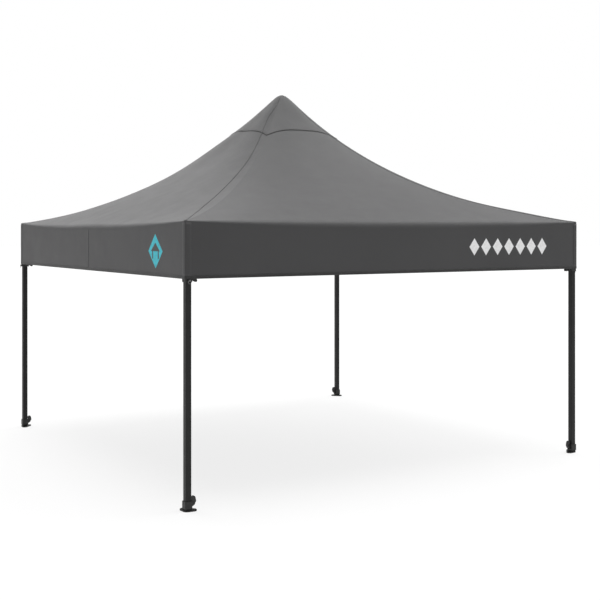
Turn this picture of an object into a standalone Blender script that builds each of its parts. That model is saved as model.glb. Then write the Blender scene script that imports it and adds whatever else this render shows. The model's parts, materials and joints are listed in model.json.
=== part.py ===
"""A 3 x 3 m pop-up gazebo, standing open: a folding lattice frame on four telescopic legs, a sprung
telescopic mast and a peaked canopy with a straight valance. Metres, +Z up, origin on the ground at the
centre.

Everything on one side of the frame is drawn once, in that side's own axes: +X is outward (away from the
centre), +Y runs along the side, and each side is a quarter turn of the first. The leg of a side stands at
its +Y end. The frame folds because every bar has the same length between its pivots."""

import math

import bmesh
import bpy
import numpy as np
from mathutils import Matrix, Vector

# Canopy
HALF_SIDE = 1.500            # centre to the outside of the valance
EAVE_Z = 1.598
HEM_Z = 1.278
PEAK_Z = 2.546
FABRIC = 0.0015              # thickness of the valance
ROOF_DROP = 0.0018           # height between the roof's two faces
ROOF_CELLS = 8               # grid cells from the centre to an edge
GRID_POWER = 1.8             # crowds the grid's lines towards the peak
CROWN = 0.029                # how far the round crown reaches from the peak
CONTOUR_POWER = 3.0          # the superellipse that the roof's level lines turn into above the eaves
SQUARE_POWER = 4.0           # how soon they do
PANEL_SAG = 0.020            # how far a panel hangs under its hips, half way up
RISE = ((1, 0.263), (2, 0.546), (5, 0.191))   # powers and shares of a hip's rise from corner to peak

# Frame
LEG_AXIS = 1.476             # centre to a leg's axis, along X and along Y
TOP_PIVOT_Z = 1.565
LOW_PIVOT_Z = 1.290
LEG_PIVOT = 0.042            # leg axis to the pivots on its brackets
MID_PIVOT = 0.018            # middle of a side to the pivots beside it
MID_INNER = 0.030            # side plane to the cross bars' outer pivots
HUB_PIVOT = 0.030            # mast axis to the hub pivots
PLANE = 0.0055               # crossed bars lie this far either side of their common plane
SPAN = LEG_AXIS - LEG_PIVOT - MID_PIVOT
BAR_LENGTH = math.hypot(SPAN, TOP_PIVOT_Z - LOW_PIVOT_Z)

# Bars, brackets and pins
BAR_THICK = 0.010
BAR_R = 0.011                # half the bar's height, and its end radius
BAR_WALL = 0.0015
RIVET_R = 0.0025
RIVET_HOLE_R = 0.0034        # across the corners of a six-sided hole
RIVET_HEAD = 0.0015
GAP = 0.0003                 # between touching pieces
SLOT = 0.0054                # half the gap between a bracket's two cheeks
CHEEK = 0.004                # thickness of a cheek
CHEEK_R = 0.012              # half the cheek's height, and its reach past the rivet
JOIN = 0.001                 # how far joined shapes run into each other
HALF_WEB = 0.0045            # half the wall between a middle bracket's two ends
PAST = 0.1                   # how far a cutter runs past what it cuts

# Legs
LEG_R = 0.0175               # half of the 35 mm outer tube
LEG_CORNER = 0.003
LEG_BORE = 0.0160
LEG_FOOT_Z = 0.020
CAP_R = 0.0200
CAP_LOW_Z = 1.545
CAP_TOP_Z = 1.5925
CAP_INSIDE_Z = 1.575
INNER_R = 0.0140
INNER_CORNER = 0.002
INNER_BORE = 0.0125
INNER_TOP_Z = 1.100

# Slider and its pull pin
SLIDER_R = 0.0216
SLIDER_BORE = 0.0182
SLIDER_LOW_Z = 1.260
SLIDER_TOP_Z = 1.312
BOSS_Z = 1.2693
BOSS_R = 0.0065
BOSS_END = 0.030             # leg axis to the boss's outer face
SKIRT_U = 0.052              # leg axis to the low lobe of each lug on the slider
SKIRT_Z = 1.2665
SKIRT_R = 0.007
PIN_R = 0.003
PIN_HOLE_R = 0.0035
PIN_TIP = 0.0181             # leg axis to the pin's tip, just clear of the tube
PIN_HEAD = 0.0355
PIN_HEAD_R = 0.0048
PIN_GAP = 0.0006             # between the boss and the pin's head
RING_R = 0.009
RING_WIRE = 0.0012

# Leg lock and its lever
COLLAR_R = 0.0223
COLLAR_CORNER = 0.004
COLLAR_BORE = 0.0179
COLLAR_LOW_Z = 0.015
COLLAR_TOP_Z = 0.056
LUG_R = 0.009                # end radius of the collar's two lugs
LUG_THICK = 0.0035
LUG_LOW_Z = 0.021
LUG_TOP_Z = 0.052
LEVER_X = 0.0345
LEVER_Z = 0.040
LEVER_R = 0.008              # end radius round the lever's pivot
LEVER_HALF = 0.006
LEVER_GAP = 0.0004
LEVER_PIN_R = 0.0018
LEVER_HOLE_R = 0.0023
THUMB = (0.0355, 0.0690, 0.0125)   # x, z and radius of the lever's thumb pad
BELLY = (0.0385, 0.0530, 0.0130)   # and of the bulge below it

# Foot
PLATE_TOP_Z = 0.008
PLATE_MARGIN = 0.009         # how far the plate reaches past the leg's faces
SOCKET_R = 0.0190
SOCKET_TOP_Z = 0.0145
EAR_U = 0.0165               # leg axis to the ears' centres, inward along the diagonal
EAR_V = 0.0286               # and sideways
EAR_R = 0.020
PEG_HOLE_R = 0.005

# Hubs and mast
HUB_R = 0.0178
HUB_ABOVE = 0.018            # upper hub's pivots to its top
HUB_BELOW = 0.018            # and to its bottom
HUB_ROOT = 0.010             # mast axis to where its lugs start
MAST_R = 0.0125
MAST_BORE = 0.0110
MAST_LOW_Z = 1.272
MAST_TOP_Z = 2.460
HUB_BORE = 0.0135
STEM_R = 0.0104
STEM_LOW_Z = 2.060
HEAD_LOW_Z = 2.512
HEAD_TOP_Z = 2.538
HEAD_R = 0.030
HEAD_EDGE = 0.010            # height of the head's edge
HEAD_LIP = 0.004

SIDES = (("right", 0), ("back", 1), ("left", 2), ("front", 3))
LEGS = ("back_right", "back_left", "front_left", "front_right")   # the leg at each side's +Y end
LEVER_TOWARDS_X = (-1, 1, 1, -1)

MATERIALS = {
    "canopy_fabric": ((0.30, 0.31, 0.33), 0.85, 0.0),
    "frame_tube": ((0.055, 0.057, 0.062), 0.45, 0.5),
    "black_nylon": ((0.025, 0.025, 0.028), 0.55, 0.0),
    "steel": ((0.62, 0.63, 0.65), 0.30, 1.0),
    "black_paint": ((0.045, 0.046, 0.050), 0.50, 0.6),
}


def start_empty():
    for thing in list(bpy.data.objects):
        bpy.data.objects.remove(thing)


def material(name):
    found = bpy.data.materials.get(name)
    if found:
        return found
    colour, roughness, metallic = MATERIALS[name]
    made = bpy.data.materials.new(name)
    made.use_nodes = True
    shader = made.node_tree.nodes["Principled BSDF"]
    shader.inputs["Base Color"].default_value = (*colour, 1)
    shader.inputs["Roughness"].default_value = roughness
    shader.inputs["Metallic"].default_value = metallic
    return made


# ---- solids as bmeshes ----


def block(low, high):
    """A box from its lowest to its highest corner."""
    bm = bmesh.new()
    bmesh.ops.create_cube(bm, size=1)
    size = Vector(high) - Vector(low)
    middle = (Vector(high) + Vector(low)) / 2
    bmesh.ops.transform(bm, matrix=Matrix.Translation(middle) @ Matrix.Diagonal((*size, 1)), verts=bm.verts)
    return bm


def rod(start, end, radius, sides=10):
    """A round rod between two points."""
    start, end = Vector(start), Vector(end)
    along = end - start
    bm = bmesh.new()
    bmesh.ops.create_cone(
        bm, cap_ends=True, segments=sides, radius1=radius, radius2=radius, depth=along.length
    )
    turn = along.to_track_quat("Z", "Y").to_matrix().to_4x4()
    bmesh.ops.transform(bm, matrix=Matrix.Translation((start + end) / 2) @ turn, verts=bm.verts)
    return bm


def prism(outline, low, high, frame=None):
    """An outline in a plane, extruded from low to high along the plane's normal."""
    frame = frame or Matrix.Identity(4)
    bm = bmesh.new()
    face = bm.faces.new([bm.verts.new((x, y, low)) for x, y in outline])
    raised = bmesh.ops.extrude_face_region(bm, geom=[face])["geom"]
    top = [v for v in raised if isinstance(v, bmesh.types.BMVert)]
    bmesh.ops.translate(bm, verts=top, vec=(0, 0, high - low))
    bmesh.ops.transform(bm, matrix=frame, verts=bm.verts)
    bmesh.ops.recalc_face_normals(bm, faces=bm.faces)
    return bm


def turned(profile, sides=24):
    """A solid turned about Z from (radius, height) points that start and end on the axis."""
    bm = bmesh.new()
    rings = []
    for radius, height in profile:
        if radius == 0:
            rings.append([bm.verts.new((0, 0, height))])
            continue
        angles = [2 * math.pi * k / sides for k in range(sides)]
        rings.append([bm.verts.new((radius * math.cos(a), radius * math.sin(a), height)) for a in angles])
    for lower, upper in zip(rings, rings[1:]):
        for k in range(sides):
            after = (k + 1) % sides
            corners = [lower[k % len(lower)], lower[after % len(lower)]]
            corners += [upper[after % len(upper)], upper[k % len(upper)]]
            bm.faces.new(list(dict.fromkeys(corners)))
    bmesh.ops.recalc_face_normals(bm, faces=bm.faces)
    return bm


def arc(centre, radius, start, end, steps):
    """Points along an arc, angles in degrees."""
    angles = np.radians(np.linspace(start, end, steps + 1))
    return [(centre[0] + radius * math.cos(a), centre[1] + radius * math.sin(a)) for a in angles]


def rounded_square(half, corner, steps=2):
    points = []
    inner = half - corner
    for k, (sx, sy) in enumerate(((1, 1), (-1, 1), (-1, -1), (1, -1))):
        points += arc((sx * inner, sy * inner), corner, 90 * k, 90 * k + 90, steps)
    return points


def hull_outline(points):
    """The convex outline round a set of points, counter-clockwise."""
    points = sorted(set((round(x, 6), round(y, 6)) for x, y in points))

    def half(run):
        kept = []
        for p in run:
            while len(kept) > 1:
                a, b = kept[-2], kept[-1]
                if (b[0] - a[0]) * (p[1] - a[1]) - (b[1] - a[1]) * (p[0] - a[0]) > 1e-10:
                    break
                kept.pop()
            kept.append(p)
        return kept[:-1]

    return half(points) + half(points[::-1])


def to_object(bm, name):
    mesh = bpy.data.meshes.new(name)
    bm.to_mesh(mesh)
    bm.free()
    made = bpy.data.objects.new(name, mesh)
    bpy.context.scene.collection.objects.link(made)
    return made


def built(name, base, add=(), cut=()):
    """One mesh: the base with solids joined on and then others cut away."""
    body = to_object(base, name)
    helpers = []
    for operation, solids in (("UNION", add), ("DIFFERENCE", cut)):
        for solid in solids:
            helper = to_object(solid, name + "_helper")
            step = body.modifiers.new(operation.lower(), "BOOLEAN")
            step.operation = operation
            step.solver = "EXACT"
            step.object = helper
            helpers.append(helper)
    bpy.context.view_layer.update()
    evaluated = body.evaluated_get(bpy.context.evaluated_depsgraph_get())
    mesh = bpy.data.meshes.new_from_object(evaluated)
    mesh.name = name
    for thing in [body, *helpers]:
        bpy.data.objects.remove(thing)
    bm = bmesh.new()
    bm.from_mesh(mesh)
    bmesh.ops.remove_doubles(bm, verts=bm.verts, dist=1e-6)
    bmesh.ops.dissolve_degenerate(bm, edges=bm.edges, dist=1e-6)
    bm.to_mesh(mesh)
    bm.free()
    return mesh


def place(name, mesh, slot, matrix):
    """A named sub-part: a mesh with its material, at a place."""
    if not mesh.materials:
        mesh.materials.append(material(slot))
        mesh.shade_smooth()
        mesh.set_sharp_from_angle(angle=math.radians(35))
    made = bpy.data.objects.new(name, mesh)
    made.matrix_world = matrix
    bpy.context.scene.collection.objects.link(made)
    return made


def quarter(turns):
    return Matrix.Rotation(math.radians(90 * turns), 4, "Z")


def moved(mesh, offset):
    """The mesh with its origin at the given point."""
    mesh.transform(Matrix.Translation(-Vector(offset)))
    return mesh


# ---- bars ----


def bar_mesh(name, stud):
    """A flat tube with round ends and three rivet holes, or a rivet at its middle for the bar beside it."""
    outline = arc((0, 0), BAR_R, 90, 270, 4) + arc((BAR_LENGTH, 0), BAR_R, -90, 90, 4)
    upright = Matrix.Rotation(math.radians(90), 4, "X")
    inside_y = BAR_THICK / 2 - BAR_WALL
    inside_z = BAR_R - BAR_WALL
    past = 2 * BAR_R
    middle = BAR_LENGTH / 2
    cuts = [block((-past, -inside_y, -inside_z), (BAR_LENGTH + past, inside_y, inside_z))]
    holes = (0, BAR_LENGTH) if stud else (0, middle, BAR_LENGTH)
    cuts += [rod((x, -past, 0), (x, past, 0), RIVET_HOLE_R, 6) for x in holes]
    mesh = built(name, prism(outline, -BAR_THICK / 2, BAR_THICK / 2, upright), cut=cuts)
    if not stud:
        return mesh
    tube = bmesh.new()
    tube.from_mesh(mesh)
    far = -2 * PLANE - BAR_THICK / 2 - GAP
    rivet = rod((middle, BAR_THICK / 2 - BAR_WALL / 3, 0), (middle, far - RIVET_HEAD / 2, 0), RIVET_R, 8)
    head = rod((middle, far, 0), (middle, far - RIVET_HEAD, 0), 2 * RIVET_R, 8)
    return built(name, tube, add=[rivet, head])


def place_bar(name, mesh, pivot, end, thickness, side, slot="frame_tube"):
    """A bar from its own pivot towards its end, its rivet pointing away from the thickness direction."""
    along = (Vector(end) - Vector(pivot)).normalized()
    across = Vector(thickness)
    frame = Matrix((along, across, along.cross(across))).transposed().to_4x4()
    place(name, mesh, slot, quarter(side) @ Matrix.Translation(Vector(pivot)) @ frame)


def make_bars():
    with_rivet = bar_mesh("bar_with_rivet", True)
    plain = bar_mesh("bar_plain", False)
    crossing = plain.copy()
    moved(crossing, (BAR_LENGTH / 2, 0, 0))
    low, top = LOW_PIVOT_Z, TOP_PIVOT_Z
    outer_end = LEG_AXIS - MID_INNER
    for side, turns in SIDES:
        # Across: upper hub down to the side's lower bracket, and lower hub up to its upper one.
        place_bar(
            f"{side}_cross_bar_down", with_rivet,
            (HUB_PIVOT, PLANE, top), (outer_end, PLANE, low), (0, 1, 0), turns,
        )
        centre = ((HUB_PIVOT + outer_end) / 2, -PLANE, (low + top) / 2)
        place_bar(f"{side}_cross_bar_up", crossing, centre, (outer_end, -PLANE, top), (0, 1, 0), turns)
        # Along: from the lower bracket up to both leg tops, and from the upper bracket down to both sliders.
        for half, way in (("a", -1), ("b", 1)):
            near, far = way * MID_PIVOT, way * (MID_PIVOT + SPAN)
            x = LEG_AXIS + PLANE
            place_bar(
                f"{side}_side_bar_up_{half}", with_rivet, (x, near, low), (x, far, top), (1, 0, 0), turns
            )
            x = LEG_AXIS - PLANE
            place_bar(
                f"{side}_side_bar_down_{half}", plain, (x, near, top), (x, far, low), (1, 0, 0), turns
            )


# ---- brackets ----


def cheek_outline(rivet, root, lobe=None):
    """A cheek from its root to a round end past the rivet, in its own plane, with an optional lower lobe."""
    way = math.copysign(1, rivet[0] - root)
    middle = 90 - 90 * way
    points = arc(rivet, CHEEK_R, middle - 90, middle + 90, 6)
    points += [(root, rivet[1] - CHEEK_R), (root, rivet[1] + CHEEK_R)]
    if lobe:
        points += arc(lobe[:2], lobe[2], 0, 360, 12)
    return hull_outline(points)


def clevis(rivet, along, plane, root, lobe=None):
    """Two cheeks either side of a bar's plane and the rivet through them. The rivet's place is given along
    the bar, the plane across it, and the cheeks run from root to just past the rivet."""
    z = rivet[1]
    across = "y" if along == "x" else "x"
    # A cheek is drawn in its plane and extruded along the other level axis.
    frame = Matrix(((1, 0, 0, 0), (0, 0, 1, 0), (0, 1, 0, 0), (0, 0, 0, 1)))
    if along == "y":
        frame = Matrix(((0, 0, 1, 0), (1, 0, 0, 0), (0, 1, 0, 0), (0, 0, 0, 1)))
    outline = cheek_outline(rivet, root, lobe)
    parts = []
    for side in (-1, 1):
        near, far = sorted((plane + side * SLOT, plane + side * (SLOT + CHEEK)))
        parts.append(prism(outline, near, far, frame))
    start, end = {along: rivet[0]}, {along: rivet[0]}
    start[across], end[across] = plane - SLOT - CHEEK / 2, plane + SLOT + CHEEK / 2
    parts.append(rod((start["x"], start["y"], z), (end["x"], end["y"], z), RIVET_R, 8))
    return parts


def mid_bracket(name, sign, z):
    """The bracket half way along a side: a two-ended clevis for the side bars and one behind it for the
    cross bar. sign is +1 on the lower bracket and -1 on the upper one, which sets the bars' planes."""
    plane = LEG_AXIS + sign * PLANE
    wing = MID_PIVOT + CHEEK_R
    inner = plane - SLOT
    base = block((inner - CHEEK, -wing, z - CHEEK_R), (inner, wing, z + CHEEK_R))
    outer_cheek = block((plane + SLOT, -wing, z - CHEEK_R), (plane + SLOT + CHEEK, wing, z + CHEEK_R))
    web_low = (inner - JOIN, -HALF_WEB, z - CHEEK_R)
    joined = [outer_cheek, block(web_low, (plane + SLOT + JOIN, HALF_WEB, z + CHEEK_R))]
    reach = SLOT + CHEEK / 2
    for y in (-MID_PIVOT, MID_PIVOT):
        joined.append(rod((plane - reach, y, z), (plane + reach, y, z), RIVET_R, 8))
    joined += clevis((LEG_AXIS - MID_INNER, z), "x", sign * PLANE, inner - CHEEK / 2)
    return built(name, base, add=joined)


def make_mid_brackets():
    lower = moved(mid_bracket("mid_lower", 1, LOW_PIVOT_Z), (LEG_AXIS - MID_INNER, 0, LOW_PIVOT_Z))
    upper = moved(mid_bracket("mid_upper", -1, TOP_PIVOT_Z), (LEG_AXIS - MID_INNER, 0, TOP_PIVOT_Z))
    for side, turns in SIDES:
        for name, mesh, z in (("lower", lower, LOW_PIVOT_Z), ("upper", upper, TOP_PIVOT_Z)):
            at = Matrix.Translation((LEG_AXIS - MID_INNER, 0, z))
            place(f"{side}_{name}_mid_bracket", mesh, "black_nylon", quarter(turns) @ at)


def hub_star(sign, z):
    """The four clevises round a hub."""
    parts = []
    for turns in range(4):
        for solid in clevis((HUB_PIVOT, z), "x", sign * PLANE, HUB_ROOT):
            bmesh.ops.transform(solid, matrix=quarter(turns), verts=solid.verts)
            parts.append(solid)
    return parts


def make_hubs_and_mast():
    body = rod((0, 0, TOP_PIVOT_Z - HUB_BELOW), (0, 0, TOP_PIVOT_Z + HUB_ABOVE), HUB_R, 20)
    bore = rod((0, 0, TOP_PIVOT_Z - PAST), (0, 0, TOP_PIVOT_Z + PAST), HUB_BORE, 20)
    upper = built("upper_hub", body, add=hub_star(1, TOP_PIVOT_Z), cut=[bore])
    place("upper_hub", upper, "black_nylon", Matrix.Identity(4))

    tube = rod((0, 0, MAST_LOW_Z), (0, 0, MAST_TOP_Z), MAST_R, 20)
    body = rod((0, 0, LOW_PIVOT_Z - CHEEK_R), (0, 0, LOW_PIVOT_Z + CHEEK_R), HUB_R, 20)
    bore = rod((0, 0, MAST_LOW_Z - PAST), (0, 0, MAST_TOP_Z + PAST), MAST_BORE, 20)
    mast = built("mast_with_lower_hub", tube, add=[body, *hub_star(-1, LOW_PIVOT_Z)], cut=[bore])
    moved(mast, (HUB_PIVOT, 0, LOW_PIVOT_Z))
    place("mast_with_lower_hub", mast, "frame_tube", Matrix.Translation((HUB_PIVOT, 0, LOW_PIVOT_Z)))

    rise = HEAD_TOP_Z - HEAD_LOW_Z - HEAD_EDGE
    dome_r = (HEAD_R**2 + rise**2) / (2 * rise)
    dome = []
    steps = 5
    for k in range(steps + 1):
        radius = HEAD_R * (1 - k / steps)
        dome.append((radius, HEAD_TOP_Z - dome_r + math.sqrt(dome_r**2 - radius**2)))
    profile = [(0, STEM_LOW_Z), (STEM_R, STEM_LOW_Z), (STEM_R, HEAD_LOW_Z), (HEAD_R - HEAD_LIP, HEAD_LOW_Z)]
    head = moved(built("mast_head", turned(profile + dome)), (0, 0, HEAD_LOW_Z))
    place("mast_head", head, "black_nylon", Matrix.Translation((0, 0, HEAD_LOW_Z)))


# ---- legs ----


def tube_solid(half, low, high, corner=LEG_CORNER):
    return prism(rounded_square(half, corner), low, high)


def square_cut(half, low, high):
    return block((-half, -half, low), (half, half, high))


def leg_lugs(sign, z, lobe=None):
    """The two clevises on a leg bracket, one for each side's bar, with the leg's axis at the origin."""
    parts = []
    for along in ("y", "x"):
        parts += clevis((-LEG_PIVOT, z), along, sign * PLANE, -CAP_R + JOIN, lobe)
    return parts


def outer_leg_mesh():
    cap = block((-CAP_R, -CAP_R, CAP_LOW_Z), (CAP_R, CAP_R, CAP_TOP_Z))
    tube = tube_solid(LEG_R, LEG_FOOT_Z, CAP_INSIDE_Z)
    inside = square_cut(LEG_BORE, LEG_FOOT_Z - PAST, CAP_INSIDE_Z)
    return built("outer_leg", tube, add=[cap, *leg_lugs(1, TOP_PIVOT_Z)], cut=[inside])


def slider_mesh():
    body = tube_solid(SLIDER_R, SLIDER_LOW_Z, SLIDER_TOP_Z)
    boss = rod((0, SLIDER_R - JOIN, BOSS_Z), (0, BOSS_END, BOSS_Z), BOSS_R, 12)
    bore = square_cut(SLIDER_BORE, SLIDER_LOW_Z - PAST, SLIDER_TOP_Z + PAST)
    pin_way = rod((0, 0, BOSS_Z), (0, BOSS_END + PAST, BOSS_Z), PIN_HOLE_R, 8)
    lugs = leg_lugs(-1, LOW_PIVOT_Z, (-SKIRT_U, SKIRT_Z, SKIRT_R))
    return built("slider", body, add=[boss, *lugs], cut=[bore, pin_way])


def ring_solid(centre, radius, wire, sides=12, around=5):
    """A wire ring in the XZ plane."""
    bm = bmesh.new()
    loops = []
    for k in range(sides):
        a = 2 * math.pi * k / sides
        out = Vector((math.cos(a), 0, math.sin(a)))
        middle = Vector(centre) + radius * out
        loop = []
        for j in range(around):
            b = 2 * math.pi * j / around
            loop.append(bm.verts.new(middle + wire * (math.cos(b) * out + math.sin(b) * Vector((0, 1, 0)))))
        loops.append(loop)
    for k in range(sides):
        for j in range(around):
            after, beside = loops[(k + 1) % sides], (j + 1) % around
            bm.faces.new([loops[k][j], loops[k][beside], after[beside], after[j]])
    bmesh.ops.recalc_face_normals(bm, faces=bm.faces)
    return bm


def pull_pin_mesh():
    stem = rod((0, PIN_TIP, BOSS_Z), (0, PIN_HEAD, BOSS_Z), PIN_R, 8)
    head = rod((0, BOSS_END + PIN_GAP, BOSS_Z), (0, PIN_HEAD, BOSS_Z), PIN_HEAD_R, 8)
    ring = ring_solid((0, (BOSS_END + PIN_HEAD) / 2 + PIN_GAP, BOSS_Z - RING_R), RING_R, RING_WIRE)
    return built("pull_pin", stem, add=[head, ring])


def foot_outline():
    """The plate's outline round its two ears and the leg, in the leg's own axes."""
    inward = (-math.sqrt(0.5), -math.sqrt(0.5))
    sideways = (math.sqrt(0.5), -math.sqrt(0.5))
    points = arc((0, 0), LEG_R + PLATE_MARGIN, 0, 360, 20)
    centres = []
    for way in (-1, 1):
        centre = [EAR_U * inward[k] + way * EAR_V * sideways[k] for k in range(2)]
        centres.append(centre)
        points += arc(centre, EAR_R, 0, 360, 20)
    return hull_outline(points), centres


def inner_leg_mesh():
    outline, ears = foot_outline()
    plate = prism(outline, 0, PLATE_TOP_Z)
    socket = tube_solid(SOCKET_R, PLATE_TOP_Z - JOIN, SOCKET_TOP_Z)
    tube = tube_solid(INNER_R, PLATE_TOP_Z - JOIN, INNER_TOP_Z, INNER_CORNER)
    cuts = [square_cut(INNER_BORE, PLATE_TOP_Z + JOIN, INNER_TOP_Z + PAST)]
    cuts += [rod((x, y, -PAST), (x, y, PLATE_TOP_Z + JOIN), PEG_HOLE_R, 10) for x, y in ears]
    return built("inner_leg", plate, add=[socket, tube], cut=cuts)


def collar_mesh():
    """The lock collar, with the lever's two lugs on its +X face."""
    body = tube_solid(COLLAR_R, COLLAR_LOW_Z, COLLAR_TOP_Z, COLLAR_CORNER)
    gap = LEVER_HALF + LEVER_GAP
    root = COLLAR_R - JOIN
    lug = hull_outline([(root, LUG_TOP_Z), (root, LUG_LOW_Z)] + arc((LEVER_X, LEVER_Z), LUG_R, -90, 90, 6))
    upright = Matrix.Rotation(math.radians(90), 4, "X")
    lugs = [prism(lug, gap, gap + LUG_THICK, upright), prism(lug, -gap - LUG_THICK, -gap, upright)]
    reach = gap + LUG_THICK / 2
    lugs.append(rod((LEVER_X, -reach, LEVER_Z), (LEVER_X, reach, LEVER_Z), LEVER_PIN_R, 8))
    bore = square_cut(COLLAR_BORE, COLLAR_LOW_Z - PAST, COLLAR_TOP_Z + PAST)
    return built("lock_collar", body, add=lugs, cut=[bore])


def lever_mesh():
    """A thumb lever, in the collar's axes: a round pad above, a bulge below it, and the pivot's round end."""
    points = []
    for x, z, radius in (THUMB, BELLY, (LEVER_X, LEVER_Z, LEVER_R)):
        points += arc((x, z), radius, 0, 360, 20)
    upright = Matrix.Rotation(math.radians(90), 4, "X")
    hole = rod((LEVER_X, -PAST, LEVER_Z), (LEVER_X, PAST, LEVER_Z), LEVER_HOLE_R, 8)
    return built("lock_lever", prism(hull_outline(points), -LEVER_HALF, LEVER_HALF, upright), cut=[hole])


def make_legs():
    lug = (0, -LEG_PIVOT)
    outer = moved(outer_leg_mesh(), (*lug, TOP_PIVOT_Z))
    slider = moved(slider_mesh(), (*lug, LOW_PIVOT_Z))
    pin = pull_pin_mesh()
    inner = inner_leg_mesh()
    collar = collar_mesh()
    lever = moved(lever_mesh(), (LEVER_X, 0, LEVER_Z))
    for (side, turns), leg, way in zip(SIDES, LEGS, LEVER_TOWARDS_X):
        at = quarter(turns) @ Matrix.Translation((LEG_AXIS, LEG_AXIS, 0))
        place(f"{leg}_outer_leg", outer, "frame_tube", at @ Matrix.Translation((*lug, TOP_PIVOT_Z)))
        place(f"{leg}_slider", slider, "black_nylon", at @ Matrix.Translation((*lug, LOW_PIVOT_Z)))
        place(f"{leg}_pull_pin", pin, "steel", at)
        place(f"{leg}_inner_leg", inner, "black_paint", at)
        facing = Matrix.Translation(at.to_translation()) @ quarter(0 if way > 0 else 2)
        place(f"{leg}_lock_collar", collar, "black_nylon", facing)
        hinge = Matrix.Translation((LEVER_X, 0, LEVER_Z))
        place(f"{leg}_lock_lever", lever, "black_nylon", facing @ hinge)


# ---- canopy ----


def rounded(distance, reach):
    """A distance from 0 to 1 whose start is rounded off over the given reach."""
    return (math.hypot(distance, reach) - reach) / (math.hypot(1, reach) - reach)


def roof_height(x, y):
    """The roof's outer face: a skin that steepens towards its peak, with level lines that are square at the
    eaves and soft at the hips above them, and hangs a little half way up each side."""
    big, small = max(abs(x), abs(y)), min(abs(x), abs(y))
    u = big / HALF_SIDE
    superellipse = ((big**CONTOUR_POWER + small**CONTOUR_POWER) / 2) ** (1 / CONTOUR_POWER)
    out = big + (1 - u**SQUARE_POWER) * (superellipse - big)
    t = 1 - rounded(out / HALF_SIDE, CROWN / HALF_SIDE)
    rise = sum(share * t**power for power, share in RISE)
    off_hip = 1 - (small / big) ** 2 if big > 0 else 0
    sag = PANEL_SAG * off_hip * math.sin(math.pi * u) ** 2
    return EAVE_Z + (PEAK_Z - EAVE_Z) * rise - sag


def make_canopy():
    """The roof and valance as one thin shell, open below."""
    steps = np.arange(-ROOF_CELLS, ROOF_CELLS + 1) / ROOF_CELLS
    lines = HALF_SIDE * np.sign(steps) * np.abs(steps) ** GRID_POWER
    shrink = (HALF_SIDE - FABRIC) / HALF_SIDE
    bm = bmesh.new()
    last = len(lines) - 1
    edge = [(i, 0) for i in range(last)] + [(last, j) for j in range(last)]
    edge += [(i, last) for i in range(last, 0, -1)] + [(0, j) for j in range(last, 0, -1)]
    hems = []
    for outside in (True, False):
        scale, drop = (1, 0) if outside else (shrink, ROOF_DROP)
        grid = [
            [bm.verts.new((x * scale, y * scale, roof_height(x, y) - drop)) for y in lines] for x in lines
        ]
        for i in range(last):
            for j in range(last):
                a, b, c, d = grid[i][j], grid[i + 1][j], grid[i + 1][j + 1], grid[i][j + 1]
                # The cells' diagonals run with the hips.
                rising = (i < ROOF_CELLS) == (j < ROOF_CELLS)
                for corners in ((a, b, c), (a, c, d)) if rising else ((a, b, d), (b, c, d)):
                    bm.faces.new(corners if outside else corners[::-1])
        hem = [bm.verts.new((lines[i] * scale, lines[j] * scale, HEM_Z)) for i, j in edge]
        for k in range(len(edge)):
            (i, j), (m, n) = edge[k], edge[(k + 1) % len(edge)]
            corners = [grid[i][j], hem[k], hem[(k + 1) % len(edge)], grid[m][n]]
            bm.faces.new(corners if outside else corners[::-1])
        hems.append(hem)
    for k in range(len(edge)):
        after = (k + 1) % len(edge)
        bm.faces.new([hems[0][k], hems[1][k], hems[1][after], hems[0][after]])
    bmesh.ops.recalc_face_normals(bm, faces=bm.faces)
    mesh = bpy.data.meshes.new("canopy")
    bm.to_mesh(mesh)
    bm.free()
    place("canopy", mesh, "canopy_fabric", Matrix.Identity(4))


def main():
    start_empty()
    make_bars()
    make_mid_brackets()
    make_hubs_and_mast()
    make_legs()
    make_canopy()


main()
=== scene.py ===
"""The looks of the 3 x 3 m pop-up gazebo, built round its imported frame. Metres, +Z up, origin on the ground
at the centre. The canopy and everything sewn to it follow the leg tops, the middle brackets and the mast head
through hooks, which do nothing at rest."""

import json
import math

import bmesh
import bpy
from mathutils import Matrix, Vector, noise

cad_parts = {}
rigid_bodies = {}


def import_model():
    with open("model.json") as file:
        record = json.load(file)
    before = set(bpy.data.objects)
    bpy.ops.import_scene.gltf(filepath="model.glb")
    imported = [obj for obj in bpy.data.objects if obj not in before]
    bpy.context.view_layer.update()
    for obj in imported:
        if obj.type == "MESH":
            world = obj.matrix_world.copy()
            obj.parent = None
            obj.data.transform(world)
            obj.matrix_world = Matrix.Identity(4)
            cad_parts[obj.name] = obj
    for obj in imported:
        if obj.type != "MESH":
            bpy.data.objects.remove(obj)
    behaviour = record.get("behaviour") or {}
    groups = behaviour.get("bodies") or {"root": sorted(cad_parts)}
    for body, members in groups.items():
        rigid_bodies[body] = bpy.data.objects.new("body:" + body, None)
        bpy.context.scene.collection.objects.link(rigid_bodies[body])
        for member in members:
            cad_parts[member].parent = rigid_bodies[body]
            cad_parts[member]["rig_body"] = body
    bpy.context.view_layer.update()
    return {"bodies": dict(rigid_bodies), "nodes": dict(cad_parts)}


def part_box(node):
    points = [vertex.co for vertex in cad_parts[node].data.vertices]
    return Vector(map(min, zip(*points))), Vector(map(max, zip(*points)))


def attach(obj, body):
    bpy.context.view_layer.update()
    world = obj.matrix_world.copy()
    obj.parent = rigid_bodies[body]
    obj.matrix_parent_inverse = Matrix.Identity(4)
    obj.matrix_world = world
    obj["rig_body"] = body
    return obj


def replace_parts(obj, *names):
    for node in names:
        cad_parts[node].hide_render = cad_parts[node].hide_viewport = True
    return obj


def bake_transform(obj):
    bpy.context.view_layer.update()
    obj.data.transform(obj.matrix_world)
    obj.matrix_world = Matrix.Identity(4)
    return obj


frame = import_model()

# ---- sizes, from the frame ----

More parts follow.
